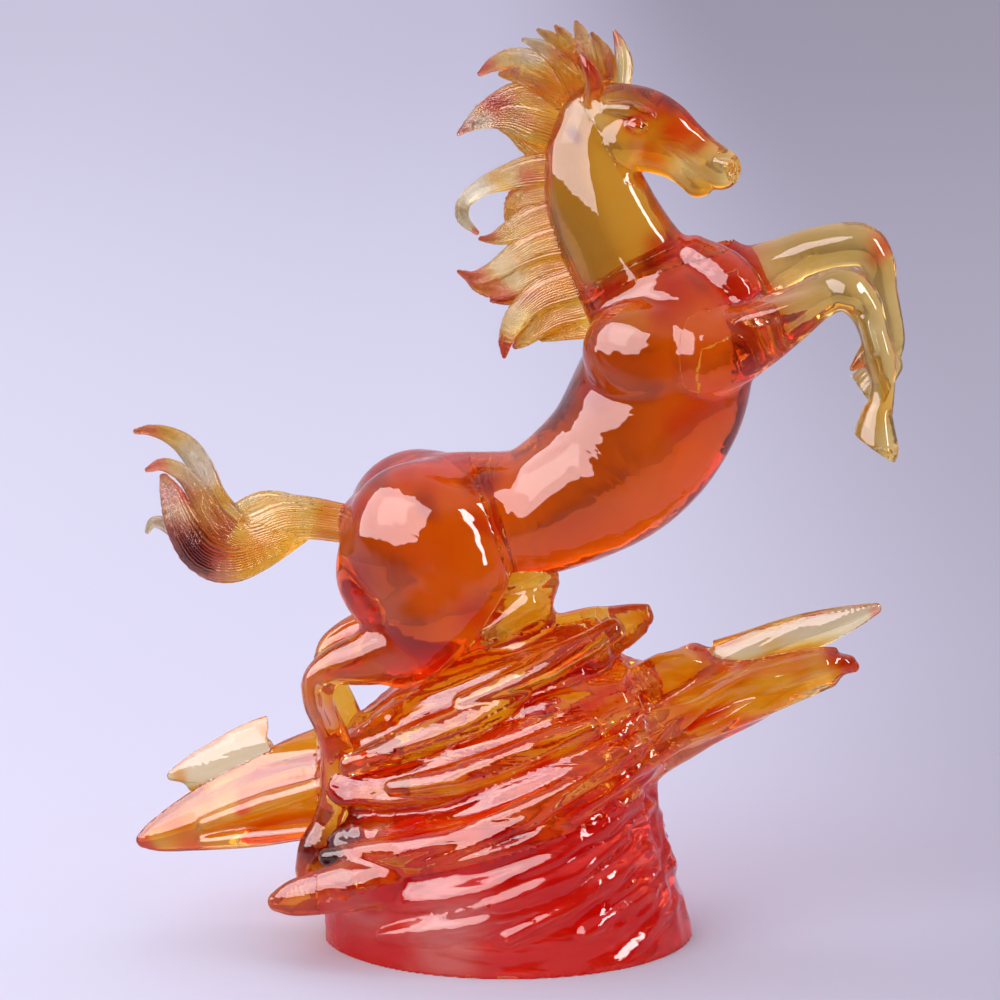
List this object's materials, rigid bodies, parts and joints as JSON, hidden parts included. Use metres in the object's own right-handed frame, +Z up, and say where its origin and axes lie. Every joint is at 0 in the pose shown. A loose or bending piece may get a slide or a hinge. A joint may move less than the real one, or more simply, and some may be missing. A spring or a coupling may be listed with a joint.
{
  "type": "glass horse figurine",
  "caption": "Rearing horse in amber and red crystal glass, leaping off a split-rock base with splinter wings, made of bonded castings on a flat-ground pedestal.",
  "frame": {"origin": "centre of the pedestal's flat underside", "axes": "+Z up, +X the way the horse faces, -Y the horse's right side"},
  "size_m": [0.2483, 0.096, 0.2949],
  "materials": {
    "coat_glass": "polished cast crystal, deep orange with red edges",
    "honey_glass": "polished cast crystal, honey amber",
    "head_glass": "polished cast crystal, orange brow running to a clear muzzle",
    "mane_glass": "finely grooved cast crystal, gold with orange tips",
    "leg_glass": "polished cast crystal, pale yellow, red at the root",
    "hind_leg_glass": "polished cast crystal, amber and pale rose",
    "rock_glass": "cast crystal with split-rock ridges, amber into orange-red",
    "splinter_glass": "cast crystal splinters, pale yellow into amber",
    "ruby_glass": "cast crystal, ruby red, ground flat underneath"
  },
  "bodies": {
    "root": {"pedestal": "ruby_glass", "front_spike": "ruby_glass", "rock_body": "rock_glass", "rock_crest": "rock_glass", "upper_spike": "rock_glass", "belly_post": "honey_glass", "left_wing": "splinter_glass", "left_wing_fin": "splinter_glass", "right_wing": "splinter_glass", "right_wing_fin": "splinter_glass", "barrel": "coat_glass", "hindquarters": "coat_glass", "neck": "honey_glass", "head": "head_glass", "right_ear": "mane_glass", "left_ear": "mane_glass", "forelock": "mane_glass", "mane_crown": "mane_glass", "mane_upper": "mane_glass", "mane_curl": "mane_glass", "mane_lower": "mane_glass", "mane_base": "mane_glass", "tail": "mane_glass", "right_foreleg": "leg_glass", "left_foreleg": "leg_glass", "right_hind_leg": "hind_leg_glass", "left_hind_leg": "hind_leg_glass"}
  },
  "joints": []
}
